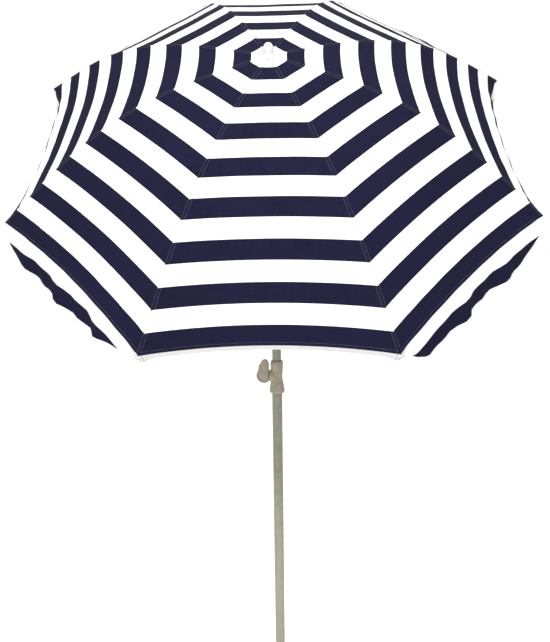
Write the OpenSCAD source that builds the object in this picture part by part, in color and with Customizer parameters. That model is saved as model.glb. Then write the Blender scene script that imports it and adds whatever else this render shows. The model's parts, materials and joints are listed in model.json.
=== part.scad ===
// Tilting beach parasol: a two-part pole with a clamp, a tilt joint, and a folding canopy of eight ribs.
// Origin: centre of the pole's bottom end. +Z runs up the pole, -Y is the side the canopy tilts to.

/* [Pole] */
// Outer diameter of the lower pole
lower_d = 32; // [28:0.5:40]
// Outer diameter of the upper pole and the top tube
upper_d = 28; // [24:0.5:34]
// Wall thickness of the steel tubes
tube_wall = 1; // [0.8:0.1:1.4]
// Length of the lower pole
lower_len = 965; // [800:5:1100]
// How far the upper pole reaches down inside the lower pole
insertion = 95; // [80:5:110]

/* [Height clamp] */
// Height of the clamp collar
collar_h = 106; // [96:1:120]
// Largest diameter of the collar, at its flared skirt
collar_d = 47.5; // [46:0.5:56]
// Height of the screw's axis above the collar's lower end
screw_rise = 60; // [54:1:64]
// Diameter of the clamp screw
screw_d = 8; // [6:1:10]

/* [Tilt joint] */
// Height of the tilt hinge above the pole's bottom end
hinge_z = 1470; // [1350:5:1600]
// Angle of the canopy from upright
tilt = 45; // [0:1:45]
// Thickness of the tongue of the upper knuckle
tongue_t = 13.4; // [11:0.2:14]
// Diameter of the hinge pin
pin_d = 8; // [6:1:10]

/* [Canopy] */
// Distance from the tilt hinge to the top of the canopy
top_len = 540; // [520:5:600]
// Length of the cloth along a rib, from the centre to the rim
rib_arc = 756; // [740:2:780]
// Slope of the ribs at the centre, below the horizontal of the canopy
slope_in = 4; // [2:0.5:8]
// Slope of the ribs at the rim
slope_out = 34.4; // [28:0.2:38]
// How far the middle of a panel's rim is drawn in towards the pole
panel_in = 26; // [10:1:40]
// How far the middle of a panel's rim is drawn up
panel_up = 24; // [10:1:36]
// Depth of the valance at the middle of a panel
valance_mid = 98; // [80:1:110]
// Depth of the valance at a rib tip
valance_tip = 46; // [36:1:60]
// Thickness of the cloth
cloth_t = 1.2; // [1:0.1:1.6]

/* [Frame of ribs] */
// Diameter of the rib wire
rib_d = 4; // [3:0.5:5]
// Distance along a rib to the pivot of its stretcher
pivot_arc = 225; // [215:1:235]
// Depth of the runner's wire ring below the top of the canopy
runner_drop = 146; // [140:1:160]

/* [Hidden] */
$fn = 48;
N_RIBS = 8;
STEP = 360 / N_RIBS;
RIBS = [for (i = [0 : N_RIBS - 1]) i];

// Colours
STEEL = [0.60, 0.61, 0.53];
TAUPE = [0.63, 0.59, 0.50];
ZINC = [0.72, 0.73, 0.75];
BRASS = [0.76, 0.62, 0.33];
WHITE = [0.93, 0.93, 0.92];
NAVY = [0.10, 0.10, 0.25];

// Poles and clamp
lower_r = lower_d / 2;
upper_r = upper_d / 2;
fit_gap = 0.05;
collar_z = lower_len - 40;
collar_top = collar_z + collar_h;
screw_z = collar_z + screw_rise;
skirt_r = collar_d / 2;
boss_end = lower_r + 9.5;
knob_face = boss_end + 0.5;
neck_r = lower_r - 0.4;

// Tilt joint
cheek_t = 6;
cheek_in = tongue_t / 2 + 0.3;
cheek_out = cheek_in + cheek_t;
cheek_r = 18.5;
tongue_r = 17;
knuckle_r = upper_r + 3.5;
socket_gap = 25;
button_r = 11;
button_travel = 4;
stem_r = 2.8;
cap_r = 5.5;

// Crown, runner and catch, measured in the canopy's own frame
crown_ring = 21;
crown_pivot_z = -11;
runner_ring = 22;
wire_r = 1.3;
blade_t = 3;
slot_w = 3.6;
flange_r = 27;
rib_drop = 5;
bracket_drop = 9;
tip_r = 3;
runner_skirt = 34;
catch_z = -runner_drop - runner_skirt - 10;

// Rib line: the slope grows smoothly from slope_in to slope_out between two arc lengths
BEND_START = 64;
BEND_END = 650;
SEG = 4;
function smooth(x) = let (t = max(0, min(1, x))) t * t * (3 - 2 * t);
function slope(s) = slope_in + (slope_out - slope_in) * smooth((s - BEND_START) / (BEND_END - BEND_START));
PROFILE = [for (s = 0, p = [0, 0]; s <= rib_arc + 20;
                p = p + SEG * [cos(slope(s + SEG / 2)), -sin(slope(s + SEG / 2))], s = s + SEG) [s, p]];
RHO = [for (q = PROFILE) [q[0], q[1][0]]];
DROP = [for (q = PROFILE) [q[0], q[1][1]]];
function below(s, d) = [lookup(s, RHO) - d * sin(slope(s)), lookup(s, DROP) - d * cos(slope(s))];

// Depth of the rib's centre line under the cloth, deeper where it reaches the crown
function rib_depth(s) = rib_drop + (-crown_pivot_z - 6.8) * (1 - smooth((s - crown_ring) / 100));
function rib_line(s) = below(s, rib_depth(s));
PIVOT = rib_line(pivot_arc) - bracket_drop * [sin(slope(pivot_arc)), cos(slope(pivot_arc))];
STRETCH = [runner_ring, -runner_drop] - PIVOT;
stretcher_len = norm(STRETCH);
stretcher_dir = atan2(STRETCH[1], STRETCH[0]);

// Cloth: v runs from 0 at the centre to 1 at the rim, u from -1 to 1 across a panel
V_START = 0.022;
CLOTH_ROWS = 10;
CLOTH_COLS = 3;
CLOTH_SPREAD = 26;
function cloth_arc(v) = (rib_arc - CLOTH_SPREAD) * v + CLOTH_SPREAD * v * v;
function outward(a) = [sin(a), -cos(a), 0];
function along(a) = [cos(a), sin(a), 0];
function cloth(a, v, u) =
    let (s = cloth_arc(v), rho = lookup(s, RHO), k = 1 - u * u)
    (rho * cos(STEP / 2) - panel_in * k * pow(v, 1.5)) * outward(a)
    + rho * sin(STEP / 2) * u * along(a)
    + [0, 0, lookup(s, DROP) + panel_up * k * pow(v, 6)];

// Valance: it hangs straight down, except in front, where it curls in under the rim
GRAVITY = [0, -sin(tilt), -cos(tilt)];
CURL = [0, 0.28, -0.96];
// p counts the panels from the front one, so p = 0 and p = 8 are both the front panel
function front_share(p, u) =
    let (from_front = p > N_RIBS / 2 ? (N_RIBS - p) * 2 - u : p * 2 + u)
    1 - smooth((from_front - 0.9) / 0.5);
function valance_dir(p, u) = let (w = front_share(p, u), d = w * CURL + (1 - w) * GRAVITY) d / norm(d);
function valance_depth(u) = valance_tip + (valance_mid - valance_tip) * (1 - pow(abs(u), 2.4));

// Shell between two grids of points with the same rows and columns
function grid_faces(rows, cols) =
    let (n = rows * cols, at = function(layer, i, j) layer * n + i * cols + j)
    concat(
        [for (i = [0 : rows - 2], j = [0 : cols - 2])
            each [[at(0, i, j), at(0, i, j + 1), at(0, i + 1, j + 1)],
                  [at(0, i, j), at(0, i + 1, j + 1), at(0, i + 1, j)],
                  [at(1, i, j), at(1, i + 1, j + 1), at(1, i, j + 1)],
                  [at(1, i, j), at(1, i + 1, j), at(1, i + 1, j + 1)]]],
        [for (i = [0 : rows - 2])
            each [[at(0, i, 0), at(0, i + 1, 0), at(1, i + 1, 0)],
                  [at(0, i, 0), at(1, i + 1, 0), at(1, i, 0)],
                  [at(0, i + 1, cols - 1), at(0, i, cols - 1), at(1, i, cols - 1)],
                  [at(0, i + 1, cols - 1), at(1, i, cols - 1), at(1, i + 1, cols - 1)]]],
        [for (j = [0 : cols - 2])
            each [[at(0, 0, j + 1), at(0, 0, j), at(1, 0, j)],
                  [at(0, 0, j + 1), at(1, 0, j), at(1, 0, j + 1)],
                  [at(0, rows - 1, j), at(0, rows - 1, j + 1), at(1, rows - 1, j + 1)],
                  [at(0, rows - 1, j), at(1, rows - 1, j + 1), at(1, rows - 1, j)]]]);
module grid_shell(outer, inner) {
    polyhedron(points = concat([for (row = outer) each row], [for (row = inner) each row]),
               faces = grid_faces(len(outer), len(outer[0])), convexity = 6);
}

// Columns of one rib's cloth: the half panel before the rib, then the half panel after it
GORE_GAP = 0.3;
function edge_u(v) = GORE_GAP / 2 / (lookup(cloth_arc(v), RHO) * sin(STEP / 2));
function cloth_columns(i, v) = concat(
    [for (c = [0 : CLOTH_COLS]) [i, edge_u(v) + (1 - edge_u(v)) * c / CLOTH_COLS]],
    [for (c = [1 : CLOTH_COLS]) [i + 1, -1 + (1 - edge_u(v)) * c / CLOTH_COLS]]);

// Frames
module on_head() {
    translate([0, 0, hinge_z]) rotate([tilt, 0, 0]) translate([0, 0, top_len]) children();
}
// At rib i, with +X outwards in the canopy's frame
module at_rib(i) {
    on_head() rotate([0, 0, STEP * (i + 0.5) - 90]) children();
}
module tube(r, z0, z1) {
    translate([0, 0, z0]) difference() {
        cylinder(r = r, h = z1 - z0);
        translate([0, 0, -1]) cylinder(r = r - tube_wall, h = z1 - z0 + 2);
    }
}
module across(r, x0, x1) {
    translate([x0, 0, 0]) rotate([0, 90, 0]) cylinder(r = r, h = x1 - x0);
}
module ring(radius, r) {
    rotate_extrude() translate([radius, 0]) circle(r = r);
}
// Spoke slots for the ends of the ribs or stretchers
module spoke_slots(z0, z1, r0) {
    for (i = RIBS)
        rotate([0, 0, STEP * (i + 0.5) - 90])
            translate([r0, -slot_w / 2, z0]) cube([flange_r, slot_w, z1 - z0]);
}

// Pole pieces
module lower_pole() {
    color(STEEL) difference() {
        union() {
            cylinder(r = lower_r, h = collar_z - 5);
            translate([0, 0, collar_z - 5]) cylinder(r = neck_r, h = lower_len - collar_z + 5);
        }
        translate([0, 0, -1]) cylinder(r = lower_r - tube_wall, h = lower_len + 2);
    }
}
module foot_plug() {
    color(TAUPE) translate([0, 0, 1]) difference() {
        cylinder(r = lower_r - tube_wall, h = 28);
        translate([0, 0, 4]) cylinder(r = lower_r - tube_wall - 3, h = 25);
    }
}
module upper_pole() {
    color(STEEL) tube(upper_r, lower_len - insertion, hinge_z - socket_gap);
}
module pole_glide() {
    glide_z = lower_len - insertion;
    color(TAUPE) difference() {
        union() {
            translate([0, 0, glide_z - 12]) cylinder(r = lower_r - tube_wall - fit_gap, h = 12);
            translate([0, 0, glide_z]) cylinder(r = upper_r - tube_wall, h = 20);
        }
        translate([0, 0, glide_z - 13]) cylinder(r = upper_r - tube_wall - 3, h = 34);
    }
}

// Height clamp
module collar_outline() {
    waist = lower_r + 1.4;
    top = lower_r + 4.2;
    polygon([[0, 0], [skirt_r - 3, 0], [skirt_r - 0.9, 0.9], [skirt_r, 3], [skirt_r, 12],
             [skirt_r - 1.6, 22], [waist + 1.6, 38], [waist, 50], [waist + 0.5, 64],
             [top - 0.5, 86], [top, 98], [top - 1.1, collar_h - 1.2], [top - 3, collar_h], [0, collar_h]]);
}
module clamp_collar() {
    color(TAUPE) translate([0, 0, collar_z]) difference() {
        union() {
            rotate_extrude($fn = 64) collar_outline();
            translate([0, 0, screw_rise - 4]) across(19, -boss_end, 0);
        }
        translate([0, 0, -1]) cylinder(r = neck_r, h = lower_len - collar_z + 1);
        cylinder(r = upper_r + fit_gap, h = collar_h + 1);
        translate([0, 0, screw_rise]) across(screw_d / 2 + 0.3, -boss_end - 1, 0);
        translate([-boss_end + 1.5, 0, screw_rise]) rotate([0, 90, 0]) cylinder(r = 7.6, h = 6.6, $fn = 6);
    }
}
module clamp_insert() {
    color(BRASS) translate([-boss_end + 1.6, 0, screw_z]) rotate([0, 90, 0]) difference() {
        cylinder(r = 7.5, h = 6.4, $fn = 6);
        translate([0, 0, -1]) cylinder(r = screw_d / 2 + fit_gap, h = 9);
    }
}
// Teardrop hand knob with its screw, pointing away to -X
module clamp_screw() {
    color(TAUPE) intersection() {
        translate([0, 5.5, screw_z]) rotate([90, 0, 0]) linear_extrude(11) hull() {
            translate([-42, -5]) circle(r = 24);
            translate([-38, 40]) circle(r = 11.5);
        }
        translate([-100 - knob_face, -20, screw_z - 60]) cube([100, 40, 120]);
    }
    color(ZINC) translate([0, 0, screw_z]) across(screw_d / 2, -knob_face - 6, -upper_r - 0.2);
}

// Tilt joint
module tilt_lower_knuckle() {
    color(TAUPE) difference() {
        union() {
            translate([0, 0, hinge_z - 75]) cylinder(r = knuckle_r, h = 75 - cheek_r - 1);
            for (side = [-1, 1])
                translate([side > 0 ? cheek_in : -cheek_out, 0, 0]) {
                    translate([0, -15, hinge_z - 30]) cube([cheek_t, 30, 30]);
                    translate([0, 0, hinge_z]) across(cheek_r, 0, cheek_t);
                }
            translate([0, 0, hinge_z - button_r]) across(cap_r + 2.5, cheek_out - 1, cheek_out + 7);
        }
        translate([0, 0, hinge_z - 76]) cylinder(r = upper_r, h = 76 - socket_gap);
        translate([0, 0, hinge_z]) across(pin_d / 2 + 0.02, -30, 30);
        translate([0, 0, hinge_z - button_r]) {
            across(stem_r + 0.2, 0, 30);
            across(cap_r + 0.2, cheek_out + 0.5, 30);
        }
    }
}
module tilt_pin() {
    color(ZINC) translate([0, 0, hinge_z]) {
        across(pin_d / 2, -cheek_out - 1, cheek_out);
        across(pin_d / 2 + 2.5, -cheek_out - 3, -cheek_out - 0.05);
    }
}
module tilt_button() {
    color(TAUPE) translate([0, 0, hinge_z - button_r]) {
        across(cap_r, cheek_out + button_travel + 0.8, cheek_out + button_travel + 6.5);
        across(stem_r, 3, cheek_out + button_travel + 1);
    }
}
module button_spring() {
    color(ZINC) translate([0, 0, hinge_z - button_r]) difference() {
        across(cap_r - 0.5, cheek_out + 0.55, cheek_out + button_travel + 0.75);
        across(stem_r + 0.8, cheek_out, cheek_out + button_travel + 2);
    }
}
// Arc slot in the tongue for the button's stem, as wide as the whole tilt range
module arc_slot() {
    for (a = [0 : 9 : 45])
        rotate([-a, 0, 0]) translate([0, 0, -button_r]) across(stem_r + 0.3, -10, 10);
    for (a = [4.5 : 9 : 45])
        rotate([-a, 0, 0]) translate([-10, -1.8, -button_r - stem_r - 0.1]) cube([20, 3.6, 2 * stem_r + 0.2]);
}
module tilt_upper_knuckle() {
    color(TAUPE) translate([0, 0, hinge_z]) rotate([tilt, 0, 0]) difference() {
        union() {
            across(tongue_r, -tongue_t / 2, tongue_t / 2);
            translate([-tongue_t / 2, -12, 0]) cube([tongue_t, 24, 24]);
            translate([0, 0, 21.5]) cylinder(r = knuckle_r, h = 50);
        }
        across(pin_d / 2 + fit_gap, -20, 20);
        translate([0, 0, socket_gap + 2]) cylinder(r = upper_r, h = 60);
        arc_slot();
    }
}

// Head pieces
module top_tube() {
    color(STEEL) on_head() difference() {
        tube(upper_r, -top_len + socket_gap + 2, -14);
        translate([-1.8, 0, catch_z - 7]) cube([3.6, upper_r + 5, 14]);
    }
}
module crown() {
    color(WHITE) on_head() difference() {
        translate([0, 0, -26]) cylinder(r = flange_r, h = 21.7);
        translate([0, 0, -27]) cylinder(r = upper_r, h = 13);
        translate([0, 0, -27]) cylinder(r = upper_r - tube_wall, h = 30);
        spoke_slots(-27, 0, upper_r + 2);
        translate([0, 0, crown_pivot_z]) ring(crown_ring, wire_r + fit_gap);
    }
}
module crown_wire() {
    color(ZINC) on_head() translate([0, 0, crown_pivot_z]) ring(crown_ring, wire_r);
}
// Knob on top of the cloth, its stem pushed into the top tube
module finial() {
    color(WHITE) on_head() {
        translate([0, 0, 0.3]) rotate_extrude()
            polygon([[0, 0], [17, 0], [17, 2], [14.5, 4], [12.5, 9], [11.6, 18], [10.6, 23], [8.4, 27],
                     [5, 29.4], [0, 30.2]]);
        translate([0, 0, -34]) cylinder(r = upper_r - tube_wall - 0.1, h = 34.4);
    }
}

// Runner and its catch
module runner() {
    color(WHITE) on_head() translate([0, 0, -runner_drop]) difference() {
        union() {
            translate([0, 0, -6]) cylinder(r = flange_r, h = 12);
            translate([0, 0, -runner_skirt]) cylinder(r = 18, h = runner_skirt);
            translate([0, 0, -runner_skirt]) cylinder(r = 21, h = 4);
            translate([-6, 0, -runner_skirt]) cube([12, 22, runner_skirt]);
        }
        translate([0, 0, -runner_skirt - 1]) cylinder(r = upper_r + 0.1, h = runner_skirt + 10);
        translate([-2.6, 0, -runner_skirt - 1]) cube([5.2, 19.5, runner_skirt + 10]);
        spoke_slots(-7, 7, upper_r + 2.5);
        ring(runner_ring, wire_r + fit_gap);
    }
}
module runner_wire() {
    color(ZINC) on_head() translate([0, 0, -runner_drop]) ring(runner_ring, wire_r);
}
// Nose that stands out of the top tube under the raised runner
module runner_catch() {
    color(ZINC) on_head() translate([0, 0, catch_z]) difference() {
        translate([-1.5, 0, -30]) cube([3, upper_r + 4.5, 36]);
        translate([-2, 8, -31]) cube([4, 20, 25]);
        translate([-2, upper_r + 4.5, -6]) rotate([40, 0, 0]) translate([0, -12, -20]) cube([4, 20, 20]);
    }
}
module catch_spring() {
    color(ZINC) on_head() translate([0, -12.3, catch_z]) rotate([-90, 0, 0]) difference() {
        cylinder(r = 4, h = 12.1);
        translate([0, 0, -1]) cylinder(r = 3, h = 15);
    }
}

// Ribs and stretchers
function wire_ring(p, a, r, sides) =
    [for (k = [0 : sides - 1]) let (b = 360 * k / sides) [p[0] - r * cos(b) * sin(a), r * sin(b), p[1] + r * cos(b) * cos(a)]];
// Round wire along the rib line, from arc length s0 to s1
module rib_wire(s0, s1) {
    rings = 15;
    sides = 8;
    stations = [for (k = [0 : rings - 1]) s0 + (s1 - s0) * k / (rings - 1)];
    points = [for (s = stations)
        let (d = rib_line(s + 1) - rib_line(s - 1)) each wire_ring(rib_line(s), atan2(d[1], d[0]), rib_d / 2, sides)];
    walls = [for (i = [0 : rings - 2], k = [0 : sides - 1])
        let (a = i * sides + k, b = i * sides + (k + 1) % sides)
        each [[a, b, b + sides], [a, b + sides, a + sides]]];
    polyhedron(points = points, faces = concat(walls,
        [[for (k = [sides - 1 : -1 : 0]) k]], [[for (k = [0 : sides - 1]) (rings - 1) * sides + k]]), convexity = 4);
}
module rib(i) {
    root = [crown_ring, crown_pivot_z];
    entry = rib_line(44);
    neck = entry - root;
    color(ZINC) at_rib(i) {
        rib_wire(40, rib_arc - 6);
        difference() {
            union() {
                translate([root[0], blade_t / 2, root[1]]) rotate([90, 0, 0]) cylinder(r = 4.2, h = blade_t);
                translate([root[0], -blade_t / 2 + 0.2, root[1]]) rotate([0, -atan2(neck[1], neck[0]), 0])
                    translate([0, 0, -2.6]) cube([norm(neck), blade_t - 0.4, 5.2]);
            }
            translate([root[0], 5, root[1]]) rotate([90, 0, 0]) cylinder(r = wire_r + 0.2, h = 10);
        }
        translate([PIVOT[0], 0, PIVOT[1]]) rotate([0, slope(pivot_arc), 0]) {
            translate([-3.6, -blade_t / 2, 0]) cube([7.2, blade_t, bracket_drop]);
            translate([0, blade_t / 2, 0]) rotate([90, 0, 0]) cylinder(r = 3.6, h = blade_t);
            translate([0, 4, 0]) rotate([90, 0, 0]) cylinder(r = 1.6, h = 8);
        }
    }
}
// At the end of rib i, with +Z along the rib
module at_tip(i) {
    at_rib(i) translate([rib_line(rib_arc - 6)[0], 0, rib_line(rib_arc - 6)[1]])
        rotate([0, 90 + slope(rib_arc), 0]) children();
}
module rib_tip(i) {
    color(WHITE) at_tip(i) {
        cylinder(r = tip_r, h = 9);
        translate([0, 0, 9]) sphere(r = tip_r);
    }
}
// Stretcher: a fork on the rib's bracket, a wire, and a blade with an open seat for the runner's wire ring
module stretcher(i) {
    blade_len = 30;
    color(ZINC) at_rib(i) translate([PIVOT[0], 0, PIVOT[1]]) rotate([0, -stretcher_dir, 0]) {
        for (side = [-1, 1])
            translate([0, side * 2.5, 0]) difference() {
                union() {
                    rotate([90, 0, 0]) cylinder(r = 3.6, h = 1.6, center = true);
                    translate([0, -0.8, -3.6]) cube([12, 1.6, 7.2]);
                }
                rotate([90, 0, 0]) cylinder(r = 1.65, h = 4, center = true);
            }
        translate([7, -3.3, -3.6]) cube([6, 6.6, 7.2]);
        across(2, 12, stretcher_len - blade_len + 4);
        translate([0, blade_t / 2, 0]) rotate([90, 0, 0]) linear_extrude(blade_t) difference() {
            union() {
                translate([stretcher_len - blade_len, -3.6]) square([blade_len, 7.2]);
                translate([stretcher_len, 0]) circle(r = 3.6);
            }
            translate([stretcher_len, 0]) circle(r = wire_r + 0.3);
            polygon([[stretcher_len + 1.6, 0], [stretcher_len + 1.6, -6], [stretcher_len - 15, -6],
                     [stretcher_len - 1, 1.2]]);
        }
    }
}

// Cloth of one rib: half a panel on either side of it
module canopy(i) {
    rows = [for (r = [0 : CLOTH_ROWS]) V_START + (1 - V_START) * r / CLOTH_ROWS];
    top = [for (v = rows) [for (c = cloth_columns(i, v)) cloth(STEP * c[0], v, c[1])]];
    under = [for (row = top) [for (p = row) p - [0, 0, cloth_t]]];
    color(WHITE) on_head() grid_shell(top, under);
}
module valance(i) {
    steps = 4;
    columns = cloth_columns(i, 1);
    function sheet(side) = [for (r = [0 : steps])
        [for (c = columns)
            let (d = valance_dir(c[0], c[1]), across_rim = along(STEP * c[0]), face = cross(across_rim, d))
            cloth(STEP * c[0], 1, c[1]) + d * (2.2 + (valance_depth(c[1]) - 2.2) * r / steps)
            + side * cloth_t / 2 * face / norm(face)]];
    color(NAVY) difference() {
        on_head() grid_shell(sheet(1), sheet(-1));
        at_tip(i) translate([0, 0, -8]) cylinder(r = tip_r + 0.4, h = 34);
    }
}

lower_pole();
foot_plug();
clamp_collar();
clamp_insert();
clamp_screw();
upper_pole();
pole_glide();
tilt_lower_knuckle();
tilt_pin();
tilt_button();
button_spring();
tilt_upper_knuckle();
top_tube();
crown();
crown_wire();
finial();
runner();
runner_wire();
runner_catch();
catch_spring();
for (i = RIBS) {
    rib(i);
    rib_tip(i);
    stretcher(i);
    canopy(i);
    valance(i);
}
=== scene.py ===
"""Striped beach umbrella: cloth, seams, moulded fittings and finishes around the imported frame.

Lengths are in metres. The cloth is worked out in the canopy's own frame, which has its origin in the middle
of the cloth and its Z up along the top tube. Panel 0 is in front, and panels are counted towards +X.
"""
import json
import math

import bmesh
import bpy
import numpy as np
from mathutils import Matrix, Vector


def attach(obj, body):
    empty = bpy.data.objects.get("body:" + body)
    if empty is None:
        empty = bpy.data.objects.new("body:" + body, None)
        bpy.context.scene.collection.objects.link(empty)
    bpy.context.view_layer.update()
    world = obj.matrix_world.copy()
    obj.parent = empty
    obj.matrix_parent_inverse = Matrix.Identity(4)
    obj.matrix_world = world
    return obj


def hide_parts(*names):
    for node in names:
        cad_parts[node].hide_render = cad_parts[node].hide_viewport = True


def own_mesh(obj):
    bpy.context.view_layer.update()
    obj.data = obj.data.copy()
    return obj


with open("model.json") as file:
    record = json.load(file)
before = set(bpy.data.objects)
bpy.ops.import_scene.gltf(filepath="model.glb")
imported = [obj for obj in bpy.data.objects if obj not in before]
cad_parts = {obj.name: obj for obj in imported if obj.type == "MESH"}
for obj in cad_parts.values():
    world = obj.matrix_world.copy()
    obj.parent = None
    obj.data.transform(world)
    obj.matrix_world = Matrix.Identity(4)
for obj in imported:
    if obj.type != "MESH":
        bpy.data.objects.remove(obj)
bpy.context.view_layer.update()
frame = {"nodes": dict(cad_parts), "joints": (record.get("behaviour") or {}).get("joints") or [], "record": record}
JOINTS = {joint["name"]: joint for joint in frame["joints"]}

# Driving sizes, the same as the frame's. The ribs slope down from SLOPE_IN to SLOPE_OUT degrees between the
# lengths BEND_START and BEND_END along them
RIBS = 8
PANEL = math.radians(360 / RIBS)
HINGE_Z = JOINTS["tilt"]["pos_m"][2]
TILT = math.radians(JOINTS["tilt"]["range_deg"][1])
TOP_LEN = 0.540
RIB_ARC = 0.756
CLOTH_SPREAD = 0.026
SLOPE_IN, SLOPE_OUT = 4.0, 34.4
BEND_START, BEND_END = 0.064, 0.650

# Canopy cloth. Halfway between two ribs the rim lies PANEL_IN further in and PANEL_UP higher
CLOTH_T = 0.0006
CLOTH_START = 0.014
PANEL_IN, PANEL_UP = 0.0111, 0.0197
# The two panels whose rims run up and down sag in towards the pole along their outer edge
SIDE_PANELS = (2, 6)
SIDE_BOW, SIDE_IN, SIDE_DOWN, SIDE_FROM = 0.016, 0.021, 0.012, 0.91
# Heights of the creases, and of the seam's doubled band and the roll along its middle
PUCKER, BILLOW, RIM_WAVE = 0.0016, 0.0012, 0.0024
SEAM_BAND, SEAM_ROLL, SEAM_HALF = 0.0005, 0.0007, 0.0052

# Stripes, as shares of a pair and of the cloth's length: each pair is white up to NAVY_FROM
FIRST_STRIPE = 0.0247
STRIPE_PAIRS = 8 - FIRST_STRIPE
NAVY_FROM = 0.5075
STRIPE_STEP = 0.0016

# Valance: its depth at the ribs and between them, and how soon it is full, as a power
VALANCE_TIP, VALANCE_MID, VALANCE_FULL = 0.042, 0.090, 5.0
VALANCE_WHITE = 0.043
VALANCE_UNDER = 0.0008
HEM = 0.006
SWAY, SIDE_SWAY, RIPPLE = 0.0095, 0.003, 0.0016

# Stitching, and how far its lines lie from the seam's middle, the rim and the hem
STITCH_PITCH, STITCH_LENGTH, THREAD = 0.0042, 0.0030, 0.00045
SEAM_LINE, RIM_LINE, HEM_LINE = 0.004, 0.007, 0.0045
THREAD_LIFT = 0.0001


# ---------------------------------------------------------------- cloth shape, in the canopy's own frame

def smooth(x):
    t = np.clip(x, 0.0, 1.0)
    return t * t * (3 - 2 * t)


ARC_STEP = 0.001
ARCS = np.arange(0, RIB_ARC + 0.02, ARC_STEP)
SLOPES = np.radians(SLOPE_IN + (SLOPE_OUT - SLOPE_IN) * smooth((ARCS - BEND_START) / (BEND_END - BEND_START)))
REACH = np.concatenate([[0], np.cumsum(ARC_STEP * np.cos(SLOPES[:-1]))])
DROP = -np.concatenate([[0], np.cumsum(ARC_STEP * np.sin(SLOPES[:-1]))])

TO_ROW = (Matrix.Translation((0, 0, HINGE_Z)) @ Matrix.Rotation(TILT, 4, "X")
          @ Matrix.Translation((0, 0, TOP_LEN)))
TURN = np.array(TO_ROW.to_3x3())
SHIFT = np.array(TO_ROW.translation)


def to_row(points):
    """From the canopy's frame to the shared one."""
    return np.asarray(points) @ TURN.T + SHIFT


def outward(angle):
    """Away from the canopy's middle, at an angle from the front."""
    return np.stack([np.sin(angle), -np.cos(angle), 0 * angle], -1)


def along(angle):
    """Across the panel at that angle, towards the next one."""
    return np.stack([np.cos(angle), np.sin(angle), 0 * angle], -1)


def unit(vectors):
    return vectors / np.linalg.norm(vectors, axis=-1, keepdims=True)


def arc_at(v):
    """Length along a rib at v, which runs from 0 in the canopy's middle to 1 at the rim."""
    return (RIB_ARC - CLOTH_SPREAD) * v + CLOTH_SPREAD * v * v


def half_width(v):
    return np.interp(arc_at(v), ARCS, REACH) * math.sin(PANEL / 2)


def flat_cloth(panel, v, u):
    """A panel's points before its creases: v from the middle to the rim, u from -1 to 1 between its ribs."""
    reach = np.interp(arc_at(v), ARCS, REACH)
    bow = 1 - u * u
    angle = panel * PANEL + 0 * v
    out = reach * math.cos(PANEL / 2) - PANEL_IN * bow * np.abs(v) ** 1.5
    side = reach * math.sin(PANEL / 2) * u
    height = np.interp(arc_at(v), ARCS, DROP) + PANEL_UP * bow * v ** 6
    if panel % RIBS in SIDE_PANELS:
        sag = (1 - u ** 4) * np.clip((v - SIDE_FROM) / (1 - SIDE_FROM), 0, 1) ** 2
        out = out - SIDE_IN * sag - SIDE_BOW * bow * np.abs(v) ** 1.5
        height = height - SIDE_DOWN * sag
    points = out[..., None] * outward(angle) + side[..., None] * along(angle)
    points[..., 2] += height
    return points


def cloth_normal(panel, v, u):
    step = 0.004
    low, high = np.clip(v - step, 0, 1), np.clip(v + step, 0, 1)
    down = flat_cloth(panel, high, u) - flat_cloth(panel, low, u)
    across = flat_cloth(panel, v, u + step) - flat_cloth(panel, v, u - step)
    return unit(np.cross(down, across))


def creases(panel, v, u):
    """Height of what tight cloth keeps: billows, a restless rim, and puckers that run in to each tip."""
    from_rib = (1 - np.abs(u)) * half_width(v)
    from_rim = RIB_ARC - arc_at(v)
    seed = 1.7 * (panel % RIBS)
    turn = np.arctan2(from_rib, from_rim + 0.004)
    tip = np.exp(-(np.hypot(from_rib, from_rim) / 0.05) ** 2)
    pucker = PUCKER * tip * np.sin(11 * turn + seed) * smooth(from_rib / 0.012)
    billow = BILLOW * np.sin(9 * v + 2.1 * u + seed) * np.sin(5 * u + 3.3 * v + 0.7 * seed)
    rim = RIM_WAVE * np.sin(13 * u + 2.3 * seed) * np.sin(7.3 * u + seed) * smooth((v - 0.8) / 0.2)
    return pucker + (billow + rim) * smooth(from_rib / 0.06) * v


def seam_height(v, u):
    """The felled seam over each rib: a flat doubled band with a soft roll along its middle."""
    from_rib = (1 - np.abs(u)) * half_width(v)
    band = SEAM_BAND * (1 - smooth((from_rib - SEAM_HALF) / 0.0008))
    return band + SEAM_ROLL * np.exp(-(from_rib / 0.0016) ** 2)


def canopy_at(panel, v, u):
    lift = creases(panel, v, u) + seam_height(v, u)
    return flat_cloth(panel, v, u) + lift[..., None] * cloth_normal(panel, v, u)


# ---------------------------------------------------------------- valance shape

GRAVITY = np.array([0, -math.sin(TILT), -math.cos(TILT)])
# The front panel's valance first runs along CURL, and from TUCK_FROM on it turns in towards TUCK
CURL = np.array([0, 0.28, -0.96])
TUCK = np.array([0, 1.30, -0.30])
TUCK_FROM = 0.026
# Start and length of what changes beside the front panel, in half panels from its middle: the curl's end, the
# growth of each side's depth, and the growth of the sway
CURL_END = (0.85, 0.40)
GROW_LEFT, GROW_RIGHT = (1.08, 0.75), (1.04, 0.40)
SWAY_START = (1.1, 0.8)


def beyond(panel, u, start, length):
    """0 up to a start beside the front panel, and 1 past its length."""
    from_front = (RIBS - panel) * 2 - u if panel > RIBS / 2 else panel * 2 + u
    return smooth((from_front - start) / length)


def valance_depth(panel, u):
    full = 1 - np.abs(u) ** VALANCE_FULL
    if panel % RIBS:
        full = full * beyond(panel, u, *(GROW_LEFT if panel > RIBS / 2 else GROW_RIGHT))
    return VALANCE_TIP + (VALANCE_MID - VALANCE_TIP) * full


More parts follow.
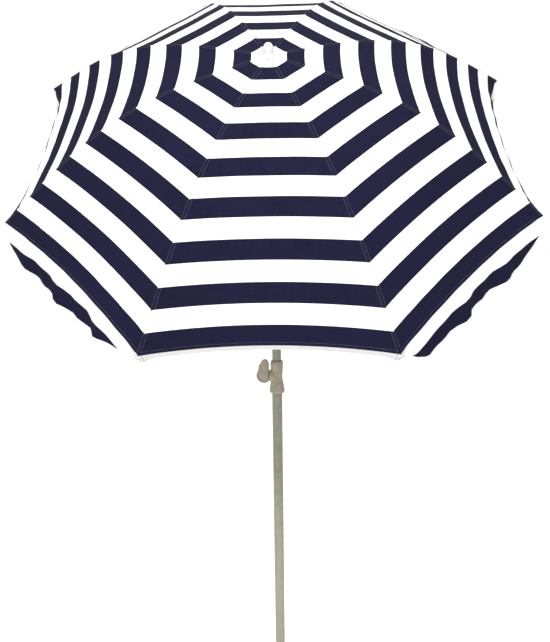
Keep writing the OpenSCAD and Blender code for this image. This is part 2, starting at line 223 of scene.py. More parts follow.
def valance_at(panel, share, u):
    """Points of a panel's valance: share from 0 at the rim to 1 at the hem, u from -1 to 1."""
    fall = share * valance_depth(panel, u)
    v = 1 + 0 * u
    start = canopy_at(panel, v, u) - VALANCE_UNDER * cloth_normal(panel, v, u)
    seed = 2.3 * (panel % RIBS)
    free = smooth((1 - np.abs(u)) / 0.5) * beyond(panel, u, *SWAY_START)
    wave = np.sin(11.5 * u + seed + 0.9 * np.sin(2.2 * u + seed)) + 0.55 * np.sin(23 * u + 1.9 * seed)
    side_dir = unit(GRAVITY + 0 * along(panel * PANEL + 0 * u))
    face = unit(np.cross(side_dir, along(panel * PANEL + 0 * u)))
    swing = SIDE_SWAY if panel % RIBS in SIDE_PANELS else SWAY
    sway = swing * wave * free * (fall / VALANCE_MID) ** 1.1
    weight = 1 - beyond(panel, u, *CURL_END)[..., None]
    hanging = start + side_dir * fall[..., None] * (1 - 0.55 * weight) + face * sway[..., None]
    tucked = 0.5 * np.clip(fall - TUCK_FROM, 0, None) ** 2 / (VALANCE_MID - TUCK_FROM)
    curled = start + CURL * fall[..., None] + (TUCK - CURL) * tucked[..., None]
    ripple = RIPPLE * np.sin(9 * u + 1) * np.sin(4 * u) * smooth((1 - np.abs(u)) / 0.3) * share
    curled += CURL * ripple[..., None]
    return weight * curled + (1 - weight) * hanging


# ---------------------------------------------------------------- sheets

# Columns over one rib's cloth, from 0 at one panel's middle to 2 at the next one's: close together at the rib
HALF_COLS = 26
FROM_RIB = np.linspace(0, 1, HALF_COLS + 1) ** 2.1
GHOST = FROM_RIB[-1] - FROM_RIB[-2]
COLUMNS = np.concatenate([[-GHOST], 1 - FROM_RIB[:0:-1], 1 + FROM_RIB, [2 + GHOST]])


def rib_grid(i, rows, shape):
    """Points and smooth normals of rib i's cloth. Ghost columns make normals agree at edges that meet."""
    row, column = np.meshgrid(rows, COLUMNS, indexing="ij")
    after = column > 1
    u = np.where(after, column - 2, column)
    points = np.where(after[..., None], shape(i + 1, row, u), shape(i, row, u))
    normals = unit(np.cross(np.gradient(points, axis=0), np.gradient(points, axis=1)))
    return points[:, 1:-1], normals[:, 1:-1], row[:, 1:-1], u[:, 1:-1]


def closed_sheet(name, outer, normals, uv_sides, values):
    """A thin closed sheet from a grid: an outer layer, an inner layer under it, and the rim between them."""
    rows, cols = outer.shape[:2]
    size = rows * cols
    points = np.concatenate([outer.reshape(-1, 3), (outer - normals * CLOTH_T).reshape(-1, 3)])
    at = np.arange(size).reshape(rows, cols)
    top = np.stack([at[:-1, :-1], at[1:, :-1], at[1:, 1:], at[:-1, 1:]], -1).reshape(-1, 4)
    loop = np.concatenate([at[0, :-1], at[:-1, -1], at[-1, :0:-1], at[:0:-1, 0]])
    ahead = np.roll(loop, -1)
    rim = np.stack([loop, ahead, ahead + size, loop + size], -1)
    faces = np.concatenate([top, top[:, ::-1] + size, rim])
    mesh = bpy.data.meshes.new(name)
    mesh.from_pydata(to_row(points).tolist(), [], faces.tolist())
    corners = np.zeros(len(mesh.loops), int)
    mesh.loops.foreach_get("vertex_index", corners)
    polygon = np.repeat(np.arange(len(faces)), 4)
    # Each side of the rib carries its own panel's pattern, so the stripes step a little at the seam
    column = faces % size % cols
    right = (column.max(1) > cols // 2)[polygon]
    left_uv, right_uv = (side.reshape(-1, 2)[corners % size] for side in uv_sides)
    uv = np.where(right[:, None], right_uv, left_uv)
    mesh.uv_layers.new(name="UVMap").data.foreach_set("uv", uv.astype(np.float32).ravel())
    for key, value in values.items():
        layer = mesh.attributes.new(key, "FLOAT", "POINT")
        layer.data.foreach_set("value", np.tile(value.ravel(), 2).astype(np.float32))
    mesh.shade_smooth()
    face_normals = np.zeros(len(faces) * 3)
    mesh.polygons.foreach_get("normal", face_normals)
    turned = normals.reshape(-1, 3) @ TURN.T
    split = np.concatenate([turned, -turned])[corners]
    on_rim = polygon >= 2 * len(top)
    split[on_rim] = face_normals.reshape(-1, 3)[polygon][on_rim]
    mesh.normals_split_custom_set(split.tolist())
    return linked(name, mesh)


def linked(name, mesh):
    obj = bpy.data.objects.new(name, mesh)
    bpy.context.collection.objects.link(obj)
    return obj


def stripe_shift(panel):
    """How far a panel's stripes sit off their neighbours', because the panels are cut by hand."""
    return STRIPE_STEP * np.sin(2.4 * (panel % RIBS) + 0.6)


def canopy_uv(panel, v, u):
    """Across the panel in metres, and down it as a share of its length."""
    shifted = np.clip(v + stripe_shift(panel), 0, 0.9999)
    return np.stack([half_width(v) * u, shifted], -1)


def on_rib(obj, i):
    """Cloth and stitches ride on their rib, so they turn with it as the canopy folds."""
    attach(obj, f"rib_{i + 1}")
    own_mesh(obj)


def canopy_cloth(i, material):
    rows = np.linspace(CLOTH_START, 1, 112)
    points, normals, v, u = rib_grid(i, rows, canopy_at)
    sides = [canopy_uv(i, v, np.where(u < 0, 1.0, u)), canopy_uv(i + 1, v, np.where(u > 0, -1.0, u))]
    middle = u.shape[1] // 2
    sides[1][:, middle] = canopy_uv(i + 1, v[:, middle], -1 + 0 * u[:, middle])
    values = {"from_seam": (1 - np.abs(u)) * half_width(v)}
    obj = closed_sheet(f"canopy_cloth_{i + 1}", points, normals, sides, values)
    obj.data.materials.append(material)
    on_rib(obj, i)
    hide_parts(f"canopy_{i + 1}")
    return obj


def valance_cloth(i, material):
    rows = np.linspace(0, 1, 22)
    points, normals, share, u = rib_grid(i, rows, valance_at)
    depth = np.where(u < 0, valance_depth(i + 1, u), valance_depth(i, u))
    fall = share * depth
    width = half_width(1.0)
    left = np.stack([width * np.where(u < 0, 1.0, u), fall], -1)
    right = np.stack([width * np.where(u > 0, -1.0, u), fall], -1)
    right[:, u.shape[1] // 2, 0] = -width
    values = {"from_hem": (1 - share) * depth, "from_seam": (1 - np.abs(u)) * width}
    obj = closed_sheet(f"valance_cloth_{i + 1}", points, normals, [left, right], values)
    obj.data.materials.append(material)
    on_rib(obj, i)
    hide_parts(f"valance_{i + 1}")
    return obj


# ---------------------------------------------------------------- material building

class Nodes:
    """Short hand for one node tree: make nodes, and do sums with sockets or numbers."""

    def __init__(self, tree):
        self.tree = tree

    def add(self, kind, **settings):
        node = self.tree.nodes.new(kind)
        for key, value in settings.items():
            setattr(node, key, value)
        return node

    def feed(self, socket, value):
        if isinstance(value, bpy.types.NodeSocket):
            self.tree.links.new(value, socket)
        else:
            socket.default_value = value

    def math(self, operation, *values, clamp=False):
        node = self.add("ShaderNodeMath", operation=operation, use_clamp=clamp)
        for socket, value in zip(node.inputs, values):
            self.feed(socket, value)
        return node.outputs[0]

    def ramp(self, value, low, high, to_low=0.0, to_high=1.0):
        node = self.add("ShaderNodeMapRange", interpolation_type="SMOOTHSTEP")
        ends = {"Value": value, "From Min": low, "From Max": high, "To Min": to_low, "To Max": to_high}
        for key, number in ends.items():
            self.feed(node.inputs[key], number)
        return node.outputs["Result"]

    def mix(self, factor, first, second):
        node = self.add("ShaderNodeMix", data_type="RGBA")
        self.feed(node.inputs["Factor"], factor)
        self.feed(node.inputs[6], first)
        self.feed(node.inputs[7], second)
        return node.outputs[2]

    def noise(self, vector, scale, detail=3.0, roughness=0.5, stretch=None):
        if stretch:
            mapping = self.add("ShaderNodeMapping")
            self.feed(mapping.inputs["Vector"], vector)
            mapping.inputs["Scale"].default_value = stretch
            vector = mapping.outputs["Vector"]
        node = self.add("ShaderNodeTexNoise")
        self.feed(node.inputs["Vector"], vector)
        node.inputs["Scale"].default_value = scale
        node.inputs["Detail"].default_value = detail
        node.inputs["Roughness"].default_value = roughness
        return node.outputs["Fac"]


def group(name, inputs, outputs, build):
    """A shader node group. inputs and outputs are (name, socket type, default)."""
    tree = bpy.data.node_groups.new(name, "ShaderNodeTree")
    for key, kind, default in inputs:
        socket = tree.interface.new_socket(name=key, in_out="INPUT", socket_type=kind)
        if default is not None:
            socket.default_value = default
    for key, kind in outputs:
        tree.interface.new_socket(name=key, in_out="OUTPUT", socket_type=kind)
    nodes = Nodes(tree)
    entry = nodes.add("NodeGroupInput")
    leave = nodes.add("NodeGroupOutput")
    made = build(nodes, {socket.name: socket for socket in entry.outputs if socket.name})
    for key, value in made.items():
        nodes.feed(leave.inputs[key], value)
    return tree


VECTOR, FLOAT = "NodeSocketVector", "NodeSocketFloat"
GEOMETRY, MATERIAL = "NodeSocketGeometry", "NodeSocketMaterial"


def weave_sums(n, given):
    """Plain weave on coordinates in metres: the height of crossing yarns, and slubs that run along them."""
    parts = n.add("ShaderNodeSeparateXYZ")
    n.feed(parts.inputs[0], given["Vector"])
    waves = []
    for axis in "XY":
        turns = n.math("DIVIDE", n.math("MULTIPLY", parts.outputs[axis], math.pi), given["Pitch"])
        waves.append(n.math("SINE", turns))
    crossing = n.math("ABSOLUTE", n.math("MULTIPLY", waves[0], waves[1]))
    warp = n.noise(given["Vector"], 1.0, 2.0, stretch=(900, 18, 1))
    weft = n.noise(given["Vector"], 1.0, 2.0, stretch=(18, 900, 1))
    return {"Height": crossing, "Slub": n.math("MULTIPLY", n.math("ADD", warp, weft), 0.5)}


def grain_sums(n, given):
    """Uneven surface of a moulding or a coating: broad mottling and a fine grain."""
    broad = n.noise(given["Vector"], 1.0, 3.0)
    coarse = n.add("ShaderNodeVectorMath", operation="SCALE")
    n.feed(coarse.inputs[0], given["Vector"])
    n.feed(coarse.inputs["Scale"], given["Scale"])
    fine = n.noise(coarse.outputs[0], 1.0, 4.0, 0.6)
    wide = n.noise(coarse.outputs[0], 0.06, 3.0)
    mixed = n.math("ADD", n.math("MULTIPLY", broad, 0.2), n.math("MULTIPLY", wide, 0.8))
    return {"Mottle": mixed, "Grain": fine}


def scuff_sums(n, given):
    """Sparse scratches and rubbed spots."""
    lines = n.noise(given["Vector"], 1.0, 4.0, 0.7, stretch=(260, 260, 22))
    spots = n.noise(given["Vector"], 55.0, 5.0, 0.65)
    line_mask = n.ramp(lines, 0.62, 0.72)
    spot_mask = n.ramp(spots, 0.60, 0.72)
    rubbed = n.math("MULTIPLY", n.math("MAXIMUM", line_mask, spot_mask), given["Amount"], clamp=True)
    return {"Scuff": rubbed}


WEAVE = group("weave", [("Vector", VECTOR, None), ("Pitch", FLOAT, 0.0006)],
              [("Height", FLOAT), ("Slub", FLOAT)], weave_sums)
GRAIN = group("grain", [("Vector", VECTOR, None), ("Scale", FLOAT, 900.0)],
              [("Mottle", FLOAT), ("Grain", FLOAT)], grain_sums)
SCUFF = group("scuff", [("Vector", VECTOR, None), ("Amount", FLOAT, 0.5)], [("Scuff", FLOAT)], scuff_sums)


def new_material(name):
    material = bpy.data.materials.new(name)
    material.use_nodes = True
    tree = material.node_tree
    return material, Nodes(tree), tree.nodes["Principled BSDF"]


def use(n, tree, **values):
    """A node group placed in a material, with its own values. Gives its outputs."""
    node = n.add("ShaderNodeGroup", node_tree=tree)
    for key, value in values.items():
        n.feed(node.inputs[key], value)
    return node.outputs


def bump(n, height, strength, distance, normal=None):
    node = n.add("ShaderNodeBump")
    n.feed(node.inputs["Height"], height)
    node.inputs["Strength"].default_value = strength
    node.inputs["Distance"].default_value = distance
    if normal is not None:
        n.feed(node.inputs["Normal"], normal)
    return node.outputs["Normal"]


def attribute(n, name):
    return n.add("ShaderNodeAttribute", attribute_name=name).outputs["Fac"]


WHITE_YARN = (0.86, 0.845, 0.825, 1)
WHITE_YARN_DULL = (0.80, 0.785, 0.765, 1)
NAVY_YARN = (0.0066, 0.0066, 0.0290, 1)
NAVY_YARN_DARK = (0.0046, 0.0045, 0.0205, 1)


def cloth_material(name, navy_mask):
    """Dyed woven polyester. navy_mask(nodes, down) gives 1 where it is navy, and the length down it."""
    material, n, shader = new_material(name)
    uv = n.add("ShaderNodeUVMap", uv_map="UVMap").outputs[0]
    parts = n.add("ShaderNodeSeparateXYZ")
    n.feed(parts.inputs[0], uv)
    mask, length = navy_mask(n, parts.outputs["Y"])
    flat = n.add("ShaderNodeCombineXYZ")
    n.feed(flat.inputs["X"], parts.outputs["X"])
    n.feed(flat.inputs["Y"], length)
    weave = use(n, WEAVE, Vector=flat.outputs[0], Pitch=0.0007)
    place = n.add("ShaderNodeTexCoord").outputs["Object"]
    age = n.noise(place, 5.0, 4.0, 0.55)
    white = n.mix(n.ramp(weave["Slub"], 0.35, 0.65), WHITE_YARN, WHITE_YARN_DULL)
    fade = n.math("ADD", n.math("MULTIPLY", weave["Slub"], 0.6), n.math("MULTIPLY", age, 0.4))
    navy = n.mix(n.ramp(fade, 0.4, 0.6), NAVY_YARN, NAVY_YARN_DARK)
    color = n.mix(mask, white, navy)
    # Painted shade: the edges of the seam's doubled band and the ridge over the rib are darkened towards
    # near-black, as if in their own shade
    seam = attribute(n, "from_seam")
    gap = n.math("ABSOLUTE", n.math("SUBTRACT", seam, SEAM_HALF))
    line = n.ramp(gap, 0.0003, 0.0011, 1.0, 0.0)
    ridge = n.ramp(seam, 0.0, 0.0009, 1.0, 0.0)
    shade = n.math("MULTIPLY", n.math("MAXIMUM", line, ridge), 0.4)
    color = n.mix(shade, color, (0.02, 0.02, 0.035, 1))
    n.feed(shader.inputs["Base Color"], color)
    n.feed(shader.inputs["Roughness"], n.ramp(weave["Slub"], 0.3, 0.7, 0.82, 0.95))
    normal = bump(n, weave["Height"], 0.25, 0.0001)
    normal = bump(n, age, 0.35, 0.004, normal)
    n.feed(shader.inputs["Normal"], normal)
    shader.inputs["Specular IOR Level"].default_value = 0.16
    return material


def thread_material():
    """Twisted blue-grey polyester thread."""
    material, n, shader = new_material("sewing_thread")
    place = n.add("ShaderNodeTexCoord").outputs["Object"]
    twist = n.noise(place, 2600.0, 2.0)
    n.feed(shader.inputs["Base Color"], n.mix(twist, (0.22, 0.22, 0.27, 1), (0.13, 0.13, 0.18, 1)))
    n.feed(shader.inputs["Roughness"], n.ramp(twist, 0.3, 0.7, 0.5, 0.75))
    n.feed(shader.inputs["Normal"], bump(n, twist, 0.4, 0.0001))
    return material


def canopy_stripes(n, down):
    place = n.math("FRACT", n.math("ADD", n.math("MULTIPLY", down, STRIPE_PAIRS), FIRST_STRIPE))
    return n.math("GREATER_THAN", place, NAVY_FROM), n.math("MULTIPLY", down, RIB_ARC)


def valance_stripes(n, down):
    below = n.math("GREATER_THAN", down, VALANCE_WHITE)
    above_hem = n.math("GREATER_THAN", attribute(n, "from_hem"), HEM)
    return n.math("MULTIPLY", below, above_hem), down


def moulded_material(name, color, dull, roughness, grain_depth, coat=0.0, scuff=0.25):
    """Moulded plastic or paint: mottled colour, fine grain, and rubbed places that are rougher and paler."""
    material, n, shader = new_material(name)
    place = n.add("ShaderNodeTexCoord").outputs["Object"]
    grain = use(n, GRAIN, Vector=place, Scale=900.0)
    rubbed = use(n, SCUFF, Vector=place, Amount=scuff)["Scuff"]
    base = n.mix(n.ramp(grain["Mottle"], 0.35, 0.65), color, dull)
    pale = tuple(min(1.0, 1.25 * c + 0.02) for c in color[:3]) + (1,)
    n.feed(shader.inputs["Base Color"], n.mix(n.math("MULTIPLY", rubbed, 0.6), base, pale))
    rough = n.ramp(grain["Mottle"], 0.3, 0.7, roughness - 0.05, roughness + 0.07)
    n.feed(shader.inputs["Roughness"], n.math("ADD", rough, n.math("MULTIPLY", rubbed, 0.15)))
    n.feed(shader.inputs["Normal"], bump(n, grain["Grain"], 0.4, grain_depth))
    shader.inputs["Coat Weight"].default_value = coat
    return material


def metal_material(name, color, dull, roughness):
    """Plated or turned metal: drawn lines, uneven tone and dull patches."""
    material, n, shader = new_material(name)
    place = n.add("ShaderNodeTexCoord").outputs["Object"]
    lines = n.noise(place, 1.0, 3.0, 0.6, stretch=(60, 60, 900))
    rubbed = use(n, SCUFF, Vector=place, Amount=0.4)["Scuff"]
    n.feed(shader.inputs["Base Color"], n.mix(n.ramp(lines, 0.35, 0.65), color, dull))
    rough = n.ramp(lines, 0.3, 0.7, roughness, roughness + 0.12)
    n.feed(shader.inputs["Roughness"], n.math("ADD", rough, n.math("MULTIPLY", rubbed, 0.25)))
    n.feed(shader.inputs["Normal"], bump(n, lines, 0.2, 0.00005))
    shader.inputs["Metallic"].default_value = 1.0
    return material


# ---------------------------------------------------------------- what repeats, by Geometry Nodes

def geometry_tree(name, sizes, build):
    """A Geometry Nodes tree with its sizes as named inputs. It ends realized and with its material."""
    tree = bpy.data.node_groups.new(name, "GeometryNodeTree")
    for key, kind in [("Geometry", GEOMETRY), *((size, FLOAT) for size in sizes), ("Material", MATERIAL)]:
        tree.interface.new_socket(name=key, in_out="INPUT", socket_type=kind)
    tree.interface.new_socket(name="Geometry", in_out="OUTPUT", socket_type=GEOMETRY)
    n = Nodes(tree)
    given = {socket.name: socket for socket in n.add("NodeGroupInput").outputs if socket.name}
    real = n.add("GeometryNodeRealizeInstances")
    n.feed(real.inputs["Geometry"], build(n, given))
    finish = n.add("GeometryNodeSetMaterial")
    n.feed(finish.inputs["Geometry"], real.outputs["Geometry"])
    n.feed(finish.inputs["Material"], given["Material"])
    n.feed(n.add("NodeGroupOutput").inputs["Geometry"], finish.outputs["Geometry"])
    return tree


def stitch_build(n, given):
    """Short rounded stitches, one at each pitch along the lines that come in."""
    curve = n.add("GeometryNodeMeshToCurve")
    n.feed(curve.inputs["Mesh"], given["Geometry"])
    spaced = n.add("GeometryNodeResampleCurve", mode="LENGTH")
    n.feed(spaced.inputs["Curve"], curve.outputs["Curve"])
    n.feed(spaced.inputs["Length"], given["Pitch"])
    turn = n.add("FunctionNodeAlignRotationToVector", axis="X")
    n.feed(turn.inputs["Vector"], n.add("GeometryNodeInputTangent").outputs["Tangent"])
    ball = n.add("GeometryNodeMeshUVSphere")
    for key, value in (("Segments", 6), ("Rings", 5), ("Radius", 0.5)):
        ball.inputs[key].default_value = value
    size = n.add("ShaderNodeCombineXYZ")
    for axis, key in zip("XYZ", ("Length", "Thread", "Thread")):
        n.feed(size.inputs[axis], given[key])
    place = n.add("GeometryNodeInstanceOnPoints")
    n.feed(place.inputs["Points"], spaced.outputs["Curve"])
    n.feed(place.inputs["Instance"], ball.outputs["Mesh"])
    n.feed(place.inputs["Rotation"], turn.outputs["Rotation"])
    n.feed(place.inputs["Scale"], size.outputs["Vector"])
    return place.outputs["Instances"]


def coil_build(n, given):
    """A wire coil that stands on the origin and runs up +Z."""
    spiral = n.add("GeometryNodeCurveSpiral")
    spiral.inputs["Resolution"].default_value = 24
    sizes = {"Rotations": "Turns", "Start Radius": "Radius", "End Radius": "Radius", "Height": "Height"}
    for key, name in sizes.items():
        n.feed(spiral.inputs[key], given[name])
    ring = n.add("GeometryNodeCurvePrimitiveCircle")
    ring.inputs["Resolution"].default_value = 10
    n.feed(ring.inputs["Radius"], given["Wire"])
    wire = n.add("GeometryNodeCurveToMesh")
    n.feed(wire.inputs["Curve"], spiral.outputs["Curve"])
    n.feed(wire.inputs["Profile Curve"], ring.outputs["Curve"])
    wire.inputs["Fill Caps"].default_value = True
    return wire.outputs["Mesh"]


STITCHES = geometry_tree("stitches", ("Pitch", "Length", "Thread"), stitch_build)
COIL = geometry_tree("coil", ("Turns", "Radius", "Height", "Wire"), coil_build)


def plain_copy(obj, name):
    """The object's evaluated mesh as a new plain object. The first object goes."""
    mesh = bpy.data.meshes.new_from_object(obj.evaluated_get(bpy.context.evaluated_depsgraph_get()))
    mesh.name = name
    bpy.data.objects.remove(obj)
    return linked(name, mesh)


def grown(name, tree, mesh, **sizes):
    """What a Geometry Nodes tree makes of a mesh, as a plain mesh."""
    obj = linked(name + "_start", mesh)
    modifier = obj.modifiers.new("grow", "NODES")
    modifier.node_group = tree
    for item in tree.interface.items_tree:
        if item.in_out == "INPUT" and item.name in sizes:
            modifier[item.identifier] = sizes[item.name]
    return plain_copy(obj, name)


def seam_lines(i):
    """The lines of stitching on rib i's cloth: two beside the seam, one at the rim and one at the hem."""
    v = np.linspace(0.06, 0.992, 150)
    beside = SEAM_LINE / half_width(v)
    u = np.linspace(0.0, 0.985, 60)
    at_rim = np.full_like(u, 1 - RIM_LINE / RIB_ARC)
    lines = []
    for panel, side in ((i, 1), (i + 1, -1)):
        edge = side * (1 - beside)
        lines.append(canopy_at(panel, v, edge) + THREAD_LIFT * cloth_normal(panel, v, edge))
        across = side * u
        lines.append(canopy_at(panel, at_rim, across) + THREAD_LIFT * cloth_normal(panel, at_rim, across))
        lines.append(valance_at(panel, 1 - HEM_LINE / valance_depth(panel, across), across))
    return lines


def stitches(i, thread):
    points, edges = [], []
    for line in seam_lines(i):
        edges += [(len(points) + k, len(points) + k + 1) for k in range(len(line) - 1)]
        points += to_row(line).tolist()
    mesh = bpy.data.meshes.new("lines")
    mesh.from_pydata(points, edges, [])
    obj = grown(f"stitches_{i + 1}", STITCHES, mesh, Pitch=STITCH_PITCH, Length=STITCH_LENGTH, Thread=THREAD,
                Material=thread)
    obj.data.shade_smooth()
    on_rib(obj, i)
    return obj


def coil(node, place, length, radius, wire, turns):
    """A coil spring in place of the plain tube of the frame."""
    start = bpy.data.meshes.new("point")
    start.from_pydata([(0, 0, 0)], [], [])
    obj = grown(node + "_coil", COIL, start, Turns=turns, Radius=radius - wire, Height=length - 2 * wire,
                Wire=wire, Material=FINISHES["zinc_steel"])
    obj.data.transform(place @ Matrix.Translation((0, 0, wire)))
    obj.data.shade_smooth()
    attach(obj, BODIES[node])
    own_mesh(obj)
    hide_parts(node)


# ---------------------------------------------------------------- moulded fittings

SCREW_Z = JOINTS["clamp_turn"]["pos_m"][2]
SCREW_R, SCREW_PITCH, SCREW_DEPTH = 0.0039, 0.00125, 0.0006
SCREW_FROM, SCREW_TO = -0.033, -0.0142
# The knob's outline wraps a large disc and a small one above it, each as x, z and radius, cut by a flat. Its
# plate is KNOB_HALF thick to each side, rounded over KNOB_EDGE and dished by KNOB_DISH
KNOB_X, KNOB_Z = -0.044, SCREW_Z + 0.005
KNOB_DISCS = ((0.002, -0.010, 0.024), (0.006, 0.035, 0.0115))
KNOB_FLAT = 0.018
KNOB_HALF, KNOB_EDGE, KNOB_DISH = 0.0056, 0.0042, 0.0011
BODIES = {node: body for body, nodes in frame["record"]["behaviour"]["bodies"].items() for node in nodes}


def fitted(obj, node):
    """A finished piece in place of the frame's plain one."""
    obj.data.materials.clear()
    obj.data.materials.append(FINISHES[SLOTS[node]])
    obj.data.shade_smooth()
    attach(obj, BODIES[node])
    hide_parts(node)


def softened(node, voxel, rounds):
    """The frame's moulding with the rounded edges and blended corners that come out of a real mould."""
    obj = linked(node + "_soft", frame["nodes"][node].data.copy())
    remesh = obj.modifiers.new("cells", "REMESH")
    remesh.mode = "VOXEL"
    remesh.voxel_size = voxel
    relax = obj.modifiers.new("relax", "CORRECTIVE_SMOOTH")
    relax.use_only_smooth = True
    relax.iterations = rounds
    relax.factor = 0.5
    fitted(plain_copy(obj, node + "_moulding"), node)


def ring_mesh(name, rings):
    """A closed skin over rings with the same number of points each. The first and last rings are capped."""
    rings = np.asarray(rings)
    count, around = rings.shape[:2]
    at = np.arange(count * around).reshape(count, around)
    ahead = np.roll(at, -1, axis=1)
    sides = np.stack([at[:-1], ahead[:-1], ahead[1:], at[1:]], -1).reshape(-1, 4).tolist()
    mesh = bpy.data.meshes.new(name)
    mesh.from_pydata(rings.reshape(-1, 3).tolist(), [], sides + [at[0, ::-1].tolist(), at[-1].tolist()])
    cells = bmesh.new()
    cells.from_mesh(mesh)
    bmesh.ops.recalc_face_normals(cells, faces=cells.faces)
    cells.to_mesh(mesh)
    cells.free()
    return linked(name, mesh)


def knob_reach(angle):
    """Distance from the knob's middle to its teardrop outline, with a flat on the side of the collar."""
    ray = np.stack([np.cos(angle), np.sin(angle)], -1)
    reach = np.zeros_like(angle)
    for share in np.linspace(0, 1, 41):
        x, z, r = (a + (b - a) * share for a, b in zip(*KNOB_DISCS))
        near = ray @ np.array([x, z])
        inside = near ** 2 - (x * x + z * z) + r * r
        reach = np.maximum(reach, near + np.sqrt(np.maximum(inside, 0)) * (inside > 0))
    flat = np.where(ray[:, 0] > 0.05, KNOB_FLAT / np.maximum(ray[:, 0], 0.05), 1.0)
    return np.minimum(reach, flat)


def knob():
    """The clamp's hand knob, with rounded edges and a raised rim around its face."""
    around = np.linspace(0, 2 * math.pi, 241)[:-1]
    reach = knob_reach(around)
    for _ in range(40):
        reach = (np.roll(reach, 1) + 2 * reach + np.roll(reach, -1)) / 4
    rounding = KNOB_EDGE * (1 - np.cos(np.linspace(0.05, 1, 12) * math.pi / 2))
    insets = np.concatenate([rounding, [0.0052, 0.0064, 0.0078, 0.0098, 0.0125, 0.0165]])
    faces = {}
    for side in (-1, 1):
        faces[side] = []
        for inset in insets:
            rise = math.sqrt(1 - (1 - min(inset / KNOB_EDGE, 1)) ** 2)
            dish = KNOB_DISH * float(smooth((inset - KNOB_EDGE) / 0.0035))
            out = reach - np.minimum(inset, 0.9 * reach)
            x, z = KNOB_X + out * np.cos(around), KNOB_Z + out * np.sin(around)
            y = np.full_like(out, side * (KNOB_HALF * rise - dish))
            faces[side].append(np.stack([x, y, z], -1))
    fitted(ring_mesh("clamp_knob", faces[-1][::-1] + faces[1]), "clamp_screw")


def screw():
    """The threaded end of the clamp screw."""
    around = np.linspace(0, 2 * math.pi, 33)[:-1]
    rings = []
    for x in np.arange(SCREW_FROM, SCREW_TO, SCREW_PITCH / 10):
        turn = (x / SCREW_PITCH + around / (2 * math.pi)) % 1
        out = SCREW_R - SCREW_DEPTH * np.abs(2 * turn - 1)
        y, z = out * np.cos(around), SCREW_Z + out * np.sin(around)
        rings.append(np.stack([np.full_like(around, x), y, z], -1))
    obj = ring_mesh("clamp_screw_thread", rings)
    obj.data.materials.append(FINISHES["zinc_steel"])
    obj.data.shade_smooth()
    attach(obj, "clamp")


# ---------------------------------------------------------------- finishes

canopy_material = cloth_material("striped_canopy_cloth", canopy_stripes)
valance_material = cloth_material("striped_valance_cloth", valance_stripes)
thread = thread_material()
# Each finish as its colour, its duller colour, its roughness and then, for mouldings, how deep the grain is
FINISHES = {
    "painted_pole": moulded_material("pole_paint", (0.325, 0.325, 0.245, 1), (0.285, 0.285, 0.205, 1), 0.36,
                                     0.00003, coat=0.2),
    "taupe_plastic": moulded_material("taupe_moulding", (0.44, 0.39, 0.285, 1), (0.37, 0.33, 0.24, 1), 0.5,
                                      0.00008),
    "white_plastic": moulded_material("white_moulding", (0.82, 0.81, 0.78, 1), (0.78, 0.77, 0.73, 1), 0.38,
                                      0.00004, coat=0.1),
    "zinc_steel": metal_material("zinc_plate", (0.62, 0.64, 0.66, 1), (0.50, 0.52, 0.55, 1), 0.34),
    "rib_wire": moulded_material("grey_wire_coat", (0.42, 0.43, 0.45, 1), (0.36, 0.37, 0.39, 1), 0.4,
                                 0.00002, coat=0.2, scuff=0.5),
    "brass_nut": metal_material("turned_brass", (0.70, 0.50, 0.24, 1), (0.58, 0.41, 0.19, 1), 0.3),
}

SLOTS = {part["node"]: part["material_slot"] for part in frame["record"]["subparts"]}
for node, obj in frame["nodes"].items():
    if SLOTS[node] in FINISHES:
        obj.data.materials.clear()
        obj.data.materials.append(FINISHES[SLOTS[node]])


# ---------------------------------------------------------------- pieces

softened("clamp_collar", voxel=0.0009, rounds=12)
softened("tilt_upper_knuckle", voxel=0.0008, rounds=10)
softened("crown", voxel=0.0007, rounds=6)
softened("runner", voxel=0.0007, rounds=6)
softened("finial", voxel=0.0007, rounds=14)
knob()
screw()
# Each spring stands where the frame has its plain tube: behind the tilt button, and behind the runner's catch
BUTTON_SPRING = Vector((0.01355, 0, HINGE_Z - 0.011))
CATCH_SPRING = Vector((0, -0.0123, -0.190))
coil("button_spring",
     Matrix.Translation(BUTTON_SPRING) @ Matrix.Rotation(math.pi / 2, 4, "Y"),
     length=0.0042, radius=0.005, wire=0.00045, turns=2.5)
coil("catch_spring",
     TO_ROW @ Matrix.Translation(CATCH_SPRING) @ Matrix.Rotation(-math.pi / 2, 4, "X"),
     length=0.0121, radius=0.004, wire=0.0005, turns=5.0)

for i in range(RIBS):
    canopy = canopy_cloth(i, canopy_material)
    sewing = stitches(i, thread)
    valance = valance_cloth(i, valance_material)


# ---------------------------------------------------------------- studio and camera

FLOOR = 20.0
# Light of the backdrop on the umbrella, and what the camera sees of the backdrop and the floor on top of it
BACKDROP, BACKDROP_SEEN, FLOOR_SEEN = 0.42, 0.62, 0.62
CAMERA_AT = (0.0450, -1.7947, 1.5131)
CAMERA_YAW, CAMERA_PITCH, CAMERA_ROLL = (math.radians(angle) for angle in (1.561, 11.142, -0.769))
CAMERA_LENS, CAMERA_SENSOR = 37.905, 36.0


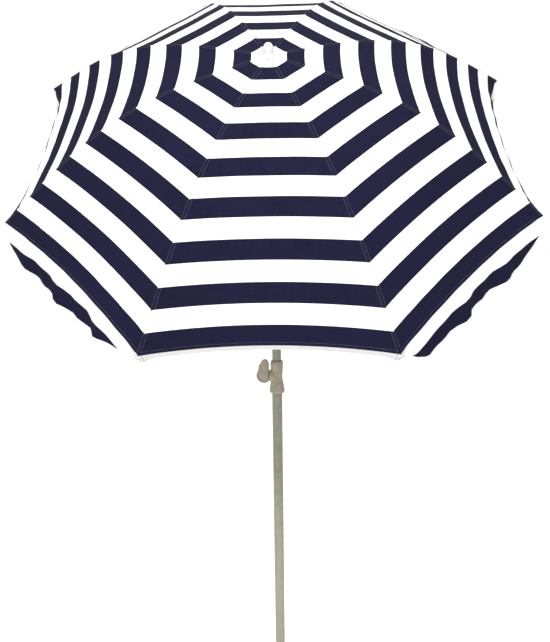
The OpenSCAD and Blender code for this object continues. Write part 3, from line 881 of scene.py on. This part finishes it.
def studio():
    floor = bpy.data.meshes.new("floor")
    corners = [(x * FLOOR, y * FLOOR, 0) for x, y in ((-1, -1), (1, -1), (1, 1), (-1, 1))]
    floor.from_pydata(corners, [], [(0, 1, 2, 3)])
    floor_obj = linked("floor", floor)
    material, n, shader = new_material("studio_floor")
    place = n.add("ShaderNodeTexCoord").outputs["Object"]
    paper = n.mix(n.noise(place, 1.5), (0.90, 0.90, 0.90, 1), (0.92, 0.92, 0.92, 1))
    n.feed(shader.inputs["Base Color"], paper)
    shader.inputs["Roughness"].default_value = 0.9
    # The far floor glows faintly, so that it meets the white backdrop without a line
    seen = n.add("ShaderNodeLightPath").outputs["Is Camera Ray"]
    n.feed(shader.inputs["Emission Color"], n.mix(seen, (0, 0, 0, 1), (1, 1, 1, 1)))
    shader.inputs["Emission Strength"].default_value = FLOOR_SEEN
    floor.materials.append(material)
    world = bpy.data.worlds.new("studio")
    bpy.context.scene.world = world
    world.use_nodes = True
    tree = world.node_tree
    w = Nodes(tree)
    background = tree.nodes["Background"]
    background.inputs["Color"].default_value = (1, 1, 1, 1)
    seen = w.add("ShaderNodeLightPath").outputs["Is Camera Ray"]
    w.feed(background.inputs["Strength"], w.math("MULTIPLY_ADD", seen, BACKDROP_SEEN, BACKDROP))


def area_light(name, elevation, azimuth, distance, size, power, color=(1, 1, 1)):
    """A square soft box aimed at the canopy. Azimuth 0 is in front of the umbrella, 90 on its +X side."""
    target = Vector((0, -0.25, 1.4))
    e, a = math.radians(elevation), math.radians(azimuth)
    toward = Vector((math.cos(e) * math.sin(a), -math.cos(e) * math.cos(a), math.sin(e)))
    light = bpy.data.lights.new(name, "AREA")
    light.size = size
    light.energy = power
    light.color = color
    obj = bpy.data.objects.new(name, light)
    obj.location = target + toward * distance
    obj.rotation_euler = toward.to_track_quat("Z", "Y").to_euler()
    bpy.context.collection.objects.link(obj)


def camera():
    data = bpy.data.cameras.new("camera")
    data.sensor_fit = "HORIZONTAL"
    data.sensor_width = CAMERA_SENSOR
    data.lens = CAMERA_LENS
    obj = bpy.data.objects.new("camera", data)
    to_view = Matrix(((1, 0, 0), (0, 0, -1), (0, 1, 0)))
    roll, pitch = Matrix.Rotation(CAMERA_ROLL, 3, "Z"), Matrix.Rotation(CAMERA_PITCH, 3, "X")
    right, down, ahead = roll @ pitch @ Matrix.Rotation(CAMERA_YAW, 3, "Y") @ to_view
    axes = Matrix((right, -down, -ahead)).transposed()
    obj.matrix_world = Matrix.Translation(CAMERA_AT) @ axes.to_4x4()
    bpy.context.collection.objects.link(obj)
    bpy.context.scene.camera = obj


studio()
area_light("key_box", 43, 4, 4.2, 0.9, 195, (1.0, 0.985, 0.965))
area_light("fill_box", 6, -14, 4.5, 2.0, 34)
area_light("left_box", 20, -70, 4.0, 2.2, 16)
area_light("right_box", 20, 70, 4.0, 2.2, 5)
area_light("back_box", 50, 180, 4.5, 2.5, 40)
camera()
bpy.context.scene.view_settings.view_transform = "Standard"

bpy.context.view_layer.update()
